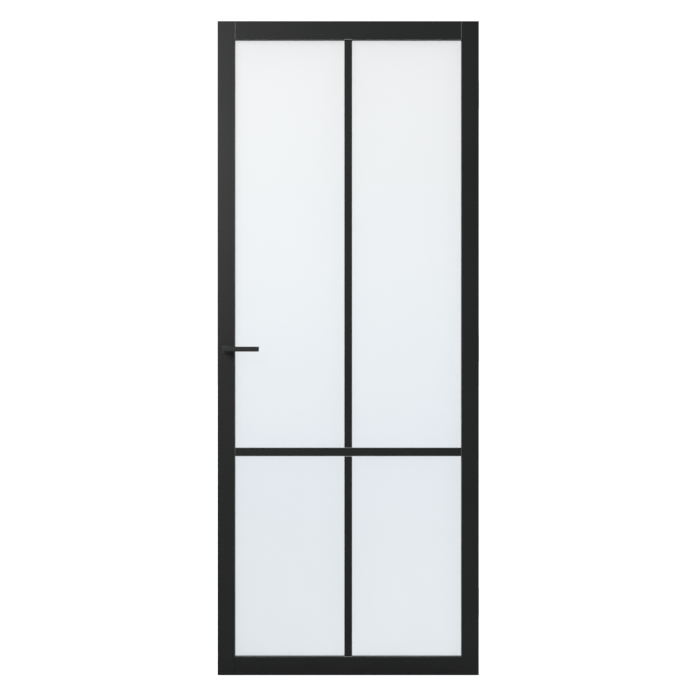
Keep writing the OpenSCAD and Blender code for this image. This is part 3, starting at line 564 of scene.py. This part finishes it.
# %% Beech
beech_dark = (0.50, 0.32, 0.17, 1)
beech_light = (0.62, 0.43, 0.25, 1)
beech_fleck = (0.28, 0.15, 0.07, 1)
dowel_grain = (40.0, 1400.0, 1400.0)  # fibres in a metre along X, Y and Z
dowel_flecks = (160.0, 1200.0, 1200.0)
finish, tree, shader, at = start_finish("beech", IOR=1.45)
wood = place(tree, film, Place=at, Ripple=900.0, Grain=dowel_grain)
drawn_out = add(tree, "ShaderNodeVectorMath", {0: at, 1: dowel_flecks}, operation="MULTIPLY").outputs[0]
flecks = add(tree, "ShaderNodeTexVoronoi", {"Vector": drawn_out, "Scale": 1.0}).outputs["Distance"]
colour = blend_colours(tree, wood["Fibre"], beech_dark, beech_light)
colour = blend_colours(tree, spread(tree, flecks, 0.1, 0.25, 0.5, 0.0), colour, beech_fleck)
tree.links.new(colour, shader.inputs["Base Color"])
tree.links.new(spread(tree, wood["Fibre"], 0.0, 1.0, 0.6, 0.75), shader.inputs["Roughness"])
relief(tree, shader, wood["Height"], 0.05 * mm)
coat_node("corner_dowels", finish)
print("beech is on")

# %% [markdown]
# ## Surfaces from rings
#
# The lever, the roses' caps, the hinge pins and the screws are rounder than a CAD export shows.
# All of them can be thought of as a stack of closed rings: each ring is a slice of the piece, and
# the skin joins each ring to the next. With numpy a whole stack is one array with three axes:
# the ring, the point on the ring, and the point's X, Y and Z.

# %% Skin over a stack of rings
sharp_angle = math.radians(35)  # faces that meet at more than this aren't shaded as one


def skin(name, rings, finish, loop=False):
    """Joins point k of each ring to point k of the next. Where loop is true, the last ring joins
    the first. If not, a flat face closes each end. Faces are turned so that they look outwards."""
    count, sides = rings.shape[:2]
    points = rings.reshape(-1, 3)
    ring = np.arange(count if loop else count - 1)[:, None]
    side = np.arange(sides)[None, :]
    here = ring * sides
    there = (ring + 1) % count * sides
    onward = (side + 1) % sides
    quads = np.stack([here + side, here + onward, there + onward, there + side], -1).reshape(-1, 4)
    a, b, c, d = (points[quads[:, k]] for k in range(4))
    volume = ((a * np.cross(b, c)).sum() + (a * np.cross(c, d)).sum()) / 6
    ends = []
    if not loop:
        ends = [np.arange(sides)[::-1], (count - 1) * sides + np.arange(sides)]
        for end in ends:
            corner = points[end]
            volume += (corner[0] * np.cross(corner[1:-1], corner[2:])).sum() / 6
    faces = [*quads.tolist(), *[end.tolist() for end in ends]]
    if volume < 0:
        faces = [face[::-1] for face in faces]
    mesh = bpy.data.meshes.new(name)
    mesh.from_pydata(points, [], faces)
    mesh.polygons.foreach_set("use_smooth", np.ones(len(faces), bool))
    mesh.set_sharp_from_angle(angle=sharp_angle)
    mesh.materials.append(finish)
    made = bpy.data.objects.new(name, mesh)
    scene.collection.objects.link(made)
    print(f"{name}: {len(faces)} faces, {abs(volume) / mm ** 3:.0f} mm3")
    return made


def join(name, parts):
    """Makes one object of several that share a finish."""
    with bpy.context.temp_override(active_object=parts[0], selected_editable_objects=parts):
        bpy.ops.object.join()
    parts[0].name = parts[0].data.name = name
    return parts[0]


print("rings can be skinned")

# %% [markdown]
# Two ring shapes are enough for all these pieces. A rounded rectangle is four quarter circles
# whose centres stand inside the corners. A guard point just before and after each quarter keeps
# the flat sides flat when they are shaded smoothly. A circle takes the same number of points, so
# that one shape can run into the other.

# %% Ring shapes
arc_points = 9
guard = 0.25 * mm
quarter = np.concatenate([[0], np.linspace(0, np.pi / 2, arc_points), [np.pi / 2]])
push = np.concatenate([[-guard], np.zeros(arc_points), [guard]])
turns = (np.arange(4)[:, None] * np.pi / 2 + quarter).ravel()
pushes = np.tile(push, 4)
corner_signs = np.repeat([[1, 1], [-1, 1], [-1, -1], [1, -1]], arc_points + 2, axis=0)
ring_size = len(turns)


def rounded_rings(half_p, half_q, radius):
    """Rounded rectangles, one for each entry: a point is its corner's centre, plus the radius
    along its own direction, plus its guard's push along the side. Returns (rings, points, 2)."""
    half_p, half_q, radius = np.broadcast_arrays(*map(np.atleast_1d, (half_p, half_q, radius)))
    half = np.stack([half_p - radius, half_q - radius], -1)[:, None, :]
    way = np.stack([np.cos(turns), np.sin(turns)], -1)
    side = np.stack([-np.sin(turns), np.cos(turns)], -1)
    return corner_signs * half + radius[:, None, None] * way + pushes[:, None] * side


def round_rings(radius):
    """Circles, one for each radius, with evenly spread points: returns (rings, points, 2)."""
    around = (np.arange(ring_size) + 0.5) / ring_size * 2 * np.pi
    return np.atleast_1d(radius)[:, None, None] * np.stack([np.cos(around), np.sin(around)], -1)


print("a ring has", ring_size, "points")

# %% [markdown]
# ## The lever
#
# The real lever is one casting: a square neck stands out from the rose, turns a crisp corner and
# runs on as a flat bar. Its back corner has a small fillet, where the mould needs one, and every
# edge is eased so that it doesn't cut the hand.
#
# Two curves seen from above describe it: the outer one, from the neck's left side round the
# corner and along the bar's face, and the inner one, from the neck's right side round the fillet
# and along the bar's back. A point of the skin lies a share of the way from the inner curve to
# the outer one. The stack of rings starts inside the square hole for the spindle, comes out at
# the end of the round journal, and ends at the bar's tip.

# %% Lever sizes
axis = joints["lever_turn"]["pos_m"]
lever_low, lever_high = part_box("lever_front")
rose_low, rose_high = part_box("rose_cap_front")
spindle_low, spindle_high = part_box("spindle")
neck = axis[0] - lever_low.x  # half the neck's side
tip_x = lever_high.x
face_y = lever_low.y
bar_depth = 12 * mm
clear = 0.5 * mm
foot_y = rose_low.y - clear  # the neck starts just off the rose
journal_end_y = lever_high.y
journal_radius = 7 * mm
journal_ease = 0.4 * mm
slip = 0.05 * mm  # what a hole is wider than the spindle or screw in it
hole = (spindle_high.x - spindle_low.x) / 2 + slip
hole_corner = 0.3 * mm
hole_end_y = spindle_low.y - clear
edge = 2 * mm
corner_out = 2.2 * mm
fillet_in = 3.5 * mm
least_corner = 0.01 * mm
print("the bar is", round(1000 * (tip_x - lever_low.x), 1), "mm long")


# %% Lever rings
def lever_rings():
    """The stack of rings of the front lever, as one array."""
    stacks = []

    def flat_stack(outlines, depths):
        """Rings that lie square to the axis: X = axis - p, Y = depth, Z = axis + q."""
        outlines = np.asarray(outlines)
        depths = np.broadcast_to(np.asarray(depths)[:, None], outlines.shape[:2])
        stacks.append(np.stack([axis[0] - outlines[..., 0], depths, axis[2] + outlines[..., 1]], -1))

    square = rounded_rings([hole, hole], [hole, hole], hole_corner)
    flat_stack(square, [hole_end_y, journal_end_y])
    ease = journal_ease
    flat_stack(round_rings([journal_radius - ease, journal_radius, journal_radius]),
               [journal_end_y, journal_end_y - ease, foot_y])
    foot = rounded_rings([neck - ease, neck], [neck - ease, neck], [edge - ease, edge])
    flat_stack(foot, [foot_y, foot_y - ease])

    bend = np.linspace(0, np.pi / 2, arc_points)
    back_y = face_y + bar_depth
    outer = np.stack([axis[0] - neck + corner_out * (1 - np.cos(bend)),
                      face_y + corner_out * (1 - np.sin(bend))], -1)
    inner = np.stack([axis[0] + neck + fillet_in * (1 - np.cos(bend)),
                      back_y + fillet_in * (1 - np.sin(bend))], -1)
    width = np.interp(bend, [0, np.pi / 2], [2 * neck, bar_depth])

    tip = np.linspace(0, np.pi / 2, arc_points)
    tip_at = np.concatenate([[tip_x - edge - guard], tip_x - edge + edge * np.sin(tip)])
    inset = np.concatenate([[0], edge * (1 - np.cos(tip))])
    outer = np.concatenate([outer, np.stack([tip_at, face_y + 0 * tip_at], -1)])
    inner = np.concatenate([inner, np.stack([tip_at, back_y + 0 * tip_at], -1)])
    width = np.concatenate([width, bar_depth + 0 * tip_at])
    inset = np.concatenate([0 * bend, inset])

    outline = rounded_rings(width / 2 - inset, neck - inset, np.maximum(edge - inset, least_corner))
    share = 0.5 + outline[..., 0] / width[:, None]
    plan = inner[:, None] + share[..., None] * (outer - inner)[:, None]
    stacks.append(np.concatenate([plan, (axis[2] + outline[..., 1])[..., None]], -1))
    return np.concatenate(stacks)


front_rings = lever_rings()
print("the lever has", len(front_rings), "rings")

# %% [markdown]
# The grub screw that locks the lever to the spindle sits in a hole in the neck's underside. The
# stack of rings has no place for a hole in its side, so a round cutter makes it: a Boolean
# modifier takes the cutter away from the lever, and the result is kept as the mesh.

# %% Levers
grub_low, grub_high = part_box("grub_screws")
grub_screw_radius = (grub_high.x - grub_low.x) / 2
grub_radius = grub_screw_radius + slip
grub_y = grub_low.y + grub_screw_radius
grub_hole_low = axis[2] - neck - 1 * mm  # the cutter starts below the neck
grub_hole_high = axis[2] - hole + clear  # and ends inside the spindle's hole


def cut_away(made, cutter):
    """Takes the cutter's shape out of a piece, keeps the result as its mesh, and drops the cutter."""
    modifier = made.modifiers.new("Hole", "BOOLEAN")
    modifier.operation = "DIFFERENCE"
    modifier.solver = "EXACT"
    modifier.object = cutter
    graph = bpy.context.evaluated_depsgraph_get()
    shaped = bpy.data.meshes.new_from_object(made.evaluated_get(graph))
    made.modifiers.clear()
    made.data = shaped
    bpy.data.objects.remove(cutter)


for face, side in (("front", 1), ("back", -1)):
    facing = np.array([1, side, 1])
    lever = skin(f"bar_lever_{face}", front_rings * facing, lever_finishes[face])
    hole_plan = round_rings([grub_radius, grub_radius])
    hole_heights = np.broadcast_to(np.array([[grub_hole_low], [grub_hole_high]]), hole_plan.shape[:2])
    cutter_rings = np.stack([axis[0] + hole_plan[..., 0], grub_y + hole_plan[..., 1], hole_heights], -1)
    cutter = skin(f"grub_hole_{face}", cutter_rings * facing, lever_finishes[face])
    cut_away(lever, cutter)
    lever.data.name = lever.name
    lever.visible_transmission = face == "front"
    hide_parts(f"lever_{face}")
    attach(lever, "lever_set")
    print(lever.name, "has", len(lever.data.polygons), "faces")

# %% [markdown]
# ## The roses' caps
#
# A rose is a thin square cover that snaps over a base plate and hides its screws. The cap is a
# pressed tray with a round hole. Its skin is a ring that travels up the outside wall, over the
# eased edge, in across the face, down through the hole and back along the inside, until it meets
# itself: a closed surface like a tyre's.

# %% Rose caps
rose_half = (rose_high.x - rose_low.x) / 2
rose_middle = (rose_high.x + rose_low.x) / 2
rose_corner = 3 * mm
rose_wall = 1.2 * mm
rose_edge = 0.8 * mm
rose_hole = journal_radius + 0.2 * mm
hole_ease = 0.25 * mm

over_edge = np.linspace(0, np.pi / 2, 7)
edge_inset = rose_edge * (1 - np.cos(over_edge))
outer_half = np.concatenate([[rose_half, rose_half], rose_half - edge_inset])
outer_corner = np.concatenate([[rose_corner, rose_corner], rose_corner - edge_inset])
outer_y = np.concatenate([
    [rose_high.y, rose_low.y + rose_edge + guard], rose_low.y + rose_edge * (1 - np.sin(over_edge)),
])
outside = rounded_rings(outer_half, outer_half, outer_corner)
through = round_rings([rose_hole + hole_ease, rose_hole, rose_hole])
through_y = [rose_low.y, rose_low.y + hole_ease, rose_low.y + rose_wall]
room = rose_half - rose_wall
inside = rounded_rings([room, room], [room, room], rose_corner - rose_wall)
inside_y = [rose_low.y + rose_wall, rose_high.y]
cap_plan = np.concatenate([outside, through, inside])
cap_y = np.concatenate([outer_y, through_y, inside_y])
cap_rings = np.stack([
    rose_middle + cap_plan[..., 0],
    np.broadcast_to(cap_y[:, None], cap_plan.shape[:2]),
    axis[2] + cap_plan[..., 1],
], -1)
for face, side in (("front", 1), ("back", -1)):
    cap = skin(f"square_rose_{face}", cap_rings * np.array([1, side, 1]), rose_finishes[face],
               loop=True)
    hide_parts(f"rose_cap_{face}")
    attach(cap, "leaf")

# %% [markdown]
# ## Hinge pins and screws
#
# Pins and screws are turned on a lathe, so a profile of radius against height, carried once
# round the axis, gives the whole piece. The pin's two heads are domed like a button.

# %% Turned pieces
def turned(radii, heights):
    """Circles of the given radii, each at its height, round the Z axis."""
    plan = round_rings(radii)
    heights = np.broadcast_to(np.asarray(heights)[:, None], plan.shape[:2])
    return np.concatenate([plan, heights[..., None]], -1)


# %% Hinge pins
head_height = 2 * mm
head_rim = 0.6 * mm
pin_radius = 3 * mm
dome = np.linspace(np.radians(4), np.pi / 2, 9)
for height_name in ("top", "middle", "bottom"):
    low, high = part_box(f"hinge_pin_{height_name}")
    head = (high.x - low.x) / 2
    domed_radii = head * np.sin(dome)
    domed_heights = (head_height - head_rim) * np.cos(dome)
    lower = low.z + head_height - head_rim - domed_heights
    upper = high.z - head_height + head_rim + domed_heights[::-1]
    pin_radii = np.concatenate([domed_radii, [head, pin_radius, pin_radius, head], domed_radii[::-1]])
    pin_heights = np.concatenate([
        lower, [low.z + head_height, low.z + head_height, high.z - head_height, high.z - head_height],
        upper,
    ])
    middle_of_pin = np.array([(low.x + high.x) / 2, (low.y + high.y) / 2, 0])
    pin = skin(f"button_pin_{height_name}", turned(pin_radii, pin_heights) + middle_of_pin,
               hinge_finishes[height_name])
    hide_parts(f"hinge_pin_{height_name}")
    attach(pin, "hinge_frame_side")

# %% [markdown]
# The twelve screws of the leaf's hinge plates show when the door stands open. Each head has a
# cross recess. The recess is a dip in the turned face: near the middle of the head the skin
# sinks wherever a point lies inside one of the two slots that make the cross, and its walls
# slope in as the punch leaves them.

# %% Cross-head screws
screw_head = 4.5 * mm
screw_shank = 2.4 * mm
screw_sink = 1.4 * mm
screw_length = 30 * mm
point_radii = [0.4 * mm, 1.2 * mm]
point_heights = [0 * mm, 1 * mm]
thread_start = 4 * mm
head_wall = [0.1 * mm, 0.05 * mm]  # the head's short wall lies this far below its face
face_edge = 0.15 * mm
face_middle = 0.12 * mm
slot_half_width = 0.55 * mm
slot_half_length = 2.5 * mm
slot_depth = 1.3 * mm
slot_wall = 0.25 * mm


def cross_recess(plan):
    """How deep the recess is at each point: the deeper of two slots, each one where the point is
    inside its half width and half length, less its distance from the wall times the slope."""
    across, along = np.abs(plan[..., 0]), np.abs(plan[..., 1])
    inside_one = np.minimum(slot_half_width - across, slot_half_length - along)
    inside_two = np.minimum(slot_half_width - along, slot_half_length - across)
    return slot_depth * np.clip(np.maximum(inside_one, inside_two) / slot_wall, 0, 1)


face_radii = np.linspace(screw_head - face_edge, face_middle, 24)
shaft_radii = [*point_radii, screw_shank, screw_shank, screw_head, screw_head]
shaft_heights = [
    *(height - screw_length for height in [*point_heights, thread_start]),
    -screw_sink, *(-height for height in head_wall),
]
fine = 72  # points in a ring, for the recess
around = (np.arange(fine) + 0.5) / fine * 2 * np.pi
radii = np.concatenate([shaft_radii, face_radii])
plan = radii[:, None, None] * np.stack([np.cos(around), np.sin(around)], -1)
depth = np.concatenate([shaft_heights, 0 * face_radii])[:, None] + 0 * around
depth[len(shaft_radii):] -= cross_recess(plan[len(shaft_radii):])
one_screw = np.concatenate([plan, depth[..., None]], -1)

first_turn = 0.7
next_turn = 1.9  # radians on from screw to screw, so that no two stop at the same angle
screws = []
leaf_face_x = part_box("hinge_stile")[1].x
for mount in frame["record"]["mounts"]:
    if mount["kind"] != "bolt_pattern":
        continue
    step_y = mount["dims"]["spacing_x_mm"] * mm / 2
    step_z = mount["dims"]["spacing_y_mm"] * mm / 2
    for side_y in (-1, 1):
        for side_z in (-1, 1):
            turn = first_turn + next_turn * len(screws)
            c, s = math.cos(turn), math.sin(turn)
            x, y, z = one_screw[..., 0], one_screw[..., 1], one_screw[..., 2]
            stack = np.stack([
                leaf_face_x + z,
                mount["pos_m"][1] + side_y * step_y + c * x - s * y,
                mount["pos_m"][2] + side_z * step_z + s * x + c * y,
            ], -1)
            screws.append(skin(f"hinge_screw_{len(screws)}", stack, screw_finish))
cross_heads = join("cross_head_screws", screws)
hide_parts("hinge_screws")
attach(cross_heads, "leaf")
print("the screws have", len(cross_heads.data.polygons), "faces together")

# %% [markdown]
# ## The latch's spring
#
# Inside the latch case a small spring draws the bolt in. It winds round the bolt's rod between
# a fixed web and the clip on the rod's end, so it has to shorten when the bolt slides out. It
# is a round wire along a helix: a point of its skin is the helix's point at that turn, plus the
# wire's radius times a direction that runs round the wire.

# %% Latch spring
def coil_rings(start, end, coil_radius, wire_radius, turn_count, steps=24, sides=10):
    """Rings round a wire that winds round the X axis from start to end. At turn angle a the
    wire's middle lies coil_radius out, in the direction (0, cos a, sin a). A ring is spanned
    by that direction and by the one square to it and to the wire."""
    angle = np.linspace(0, 2 * np.pi * turn_count, turn_count * steps + 1)
    out = np.stack([0 * angle, np.cos(angle), np.sin(angle)], -1)
    rise = (end - start) / (2 * np.pi * turn_count)
    along = np.stack([0 * angle + rise, -coil_radius * np.sin(angle), coil_radius * np.cos(angle)], -1)
    square = np.cross(along / np.linalg.norm(along, axis=-1, keepdims=True), out)
    middle = coil_radius * out + (start + rise * angle)[:, None] * np.array([1, 0, 0])
    way = np.arange(sides) / sides * 2 * np.pi
    around_wire = np.cos(way)[:, None] * out[:, None] + np.sin(way)[:, None] * square[:, None]
    return middle[:, None] + wire_radius * around_wire


spring_low, spring_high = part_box("latch_spring")
wire_radius = 0.4 * mm
spring_radius = (spring_high.y - spring_low.y) / 2 - wire_radius
spring_axis = np.array([0, (spring_low.y + spring_high.y) / 2, (spring_low.z + spring_high.z) / 2])
spring_rings = coil_rings(
    spring_low.x + wire_radius, spring_high.x - wire_radius, spring_radius, wire_radius, turn_count=6
)
spring = skin("bolt_spring", spring_rings + spring_axis, wire_steel)
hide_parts("latch_spring")
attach(spring, "leaf")
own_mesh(spring)

# %% [markdown]
# ## The studio
#
# A black door in front of a bright room is hard to light: the frame has to stay black while the
# glass and the floor stay white. Studios do it with a white surround that the camera sees, and
# with black flags beside the camera, so that the door's face mirrors something dark.
#
# The world here does the same. What the camera sees, directly or through the glass, is a white
# wall. Everything else sees a surround that is bright at the sides, above and behind, and dim
# on the camera's side. One tall softbox on the left models the frame from its front, and one
# stands behind for the back.

# %% Camera
# The lens looks straight ahead from a standing person's chest. A small shift takes in the whole
# height of the door without tilting the camera, so the stiles stay upright.
camera_data = bpy.data.cameras.new("Camera")
camera = bpy.data.objects.new("Camera", camera_data)
scene.collection.objects.link(camera)
camera.location = (-0.0007, -3.107, 0.968)
camera.rotation_euler = (math.pi / 2, 0, 0)
camera_data.lens = 49.4
camera_data.sensor_width = 36.0
camera_data.shift_y = 0.04
camera_data.clip_end = 200
scene.camera = camera
scene.view_settings.view_transform = "Standard"
scene.view_settings.look = "None"
print("the camera stands", round(-camera.location.y, 2), "m in front of the door's middle")

# %% World
wall_high = (1.117, 1.103, 1.089, 1)
wall_middle = (1.12, 1.145, 1.17, 1)
wall_low = (1.19, 1.25, 1.295, 1)
dim_side = (0.16, 0.165, 0.17, 1)
bright_side = (1.0, 1.0, 1.0, 1)
horizon, low_wall_top, high_wall = 0.0, 0.08, 0.20  # heights of a direction, where straight up is 1
flag_starts, flag_full = -0.15, -0.8  # and how far it points to the camera's side
world = bpy.data.worlds.new("Studio")
scene.world = world
world.use_nodes = True
sky = world.node_tree
sky.nodes.clear()
way = add(sky, "ShaderNodeTexCoord").outputs["Generated"]
ways = add(sky, "ShaderNodeSeparateXYZ", {0: way}).outputs
upper = spread(sky, ways[2], low_wall_top, high_wall, 0.0, 1.0)
lower = spread(sky, ways[2], horizon, low_wall_top, 1.0, 0.0)
wall = blend_colours(sky, upper, wall_middle, wall_high)
wall = blend_colours(sky, lower, wall, wall_low)
towards_camera = add(
    sky, "ShaderNodeMapRange",
    {"Value": ways[1], "From Min": flag_starts, "From Max": flag_full},
    interpolation_type="SMOOTHSTEP",
).outputs["Result"]
surround = blend_colours(sky, towards_camera, bright_side, dim_side)
rays = add(sky, "ShaderNodeLightPath").outputs
seen = reckon(sky, "MAXIMUM", rays["Is Camera Ray"], rays["Is Transmission Ray"])
light = blend_colours(sky, seen, surround, wall)
background = add(sky, "ShaderNodeBackground", {"Color": light, "Strength": 1.0})
add(sky, "ShaderNodeOutputWorld", {"Surface": background.outputs[0]})
print("the world has", len(sky.nodes), "nodes")


# %% Softboxes
def softbox(name, at, towards, width, height, power, colour):
    """A rectangular lamp that looks at a point. The camera doesn't see it, but glossy faces do."""
    data = bpy.data.lights.new(name, "AREA")
    data.shape = "RECTANGLE"
    data.size, data.size_y = width, height
    data.energy, data.color = power, colour
    lamp = bpy.data.objects.new(name, data)
    scene.collection.objects.link(lamp)
    lamp.location = at
    back = np.array(at, float) - np.array(towards, float)
    lamp.rotation_euler = (
        math.atan2(math.hypot(back[0], back[1]), back[2]), 0.0, math.atan2(back[0], -back[1])
    )
    lamp.visible_camera = False
    lamp.visible_transmission = False
    return lamp


softbox("Key", (-1.75, -2.9, 2.50), (-0.2, 0, 1.35), 0.8, 1.6, 42, (1.0, 0.99, 0.97))
softbox("Back", (2.7, 1.35, 2.2), (0.0, 0, 1.1), 1.0, 1.4, 42, (1.0, 0.99, 0.98))

# %% [markdown]
# The floor is a wide, pale, matt disc a few millimetres below the leaf, because a hung door
# clears its floor. To the camera and through the pane it glows as brightly as the wall behind,
# a little dimmer near the door's foot, so no line shows where the two meet; lamps light its matt
# part too.

# %% Floor
floor_gap = 6 * mm
glow_near = (0.79, 0.84, 0.86, 1)
glow_far = (0.865, 0.925, 0.985, 1)
glow_spread = (0.5, 4.5)  # metres from the door's foot
seen_straight = 1.25
seen_through_pane = 0.78
reach = np.concatenate([[0.3], np.geomspace(0.6, 90.0, 24)])
floor_rings = turned(reach, 0 * reach - floor_gap)
floor_points = floor_rings.reshape(-1, 3)
ring = np.arange(len(reach) - 1)[:, None] * ring_size
side = np.arange(ring_size)[None, :]
onward = (side + 1) % ring_size
quads = np.stack([ring + side, ring + ring_size + side, ring + ring_size + onward, ring + onward], -1)
floor_mesh = bpy.data.meshes.new("floor")
floor_mesh.from_pydata(floor_points, [], [list(range(ring_size)), *quads.reshape(-1, 4).tolist()])
floor = bpy.data.objects.new("floor", floor_mesh)
scene.collection.objects.link(floor)

finish = bpy.data.materials.new("pale_floor")
finish.use_nodes = True
tree = finish.node_tree
tree.nodes.clear()
at = add(tree, "ShaderNodeTexCoord").outputs["Object"]
far = add(tree, "ShaderNodeVectorMath", {0: at}, operation="LENGTH").outputs["Value"]
glow = blend_colours(tree, spread(tree, far, *glow_spread, 0.0, 1.0), glow_near, glow_far)
rays = add(tree, "ShaderNodeLightPath").outputs
through_glass = reckon(tree, "MULTIPLY", rays["Is Transmission Ray"], seen_through_pane)
seen = reckon(tree, "MULTIPLY_ADD", rays["Is Camera Ray"], seen_straight, through_glass)
shine = add(tree, "ShaderNodeEmission", {"Color": glow, "Strength": seen})
matt = add(tree, "ShaderNodeBsdfDiffuse", {"Color": (0.34, 0.34, 0.34, 1)})
both = add(tree, "ShaderNodeAddShader", {0: shine.outputs[0], 1: matt.outputs[0]})
add(tree, "ShaderNodeOutputMaterial", {"Surface": both.outputs[0]})
floor_mesh.materials.append(finish)
print("the floor lies", floor_gap / mm, "mm below the leaf")
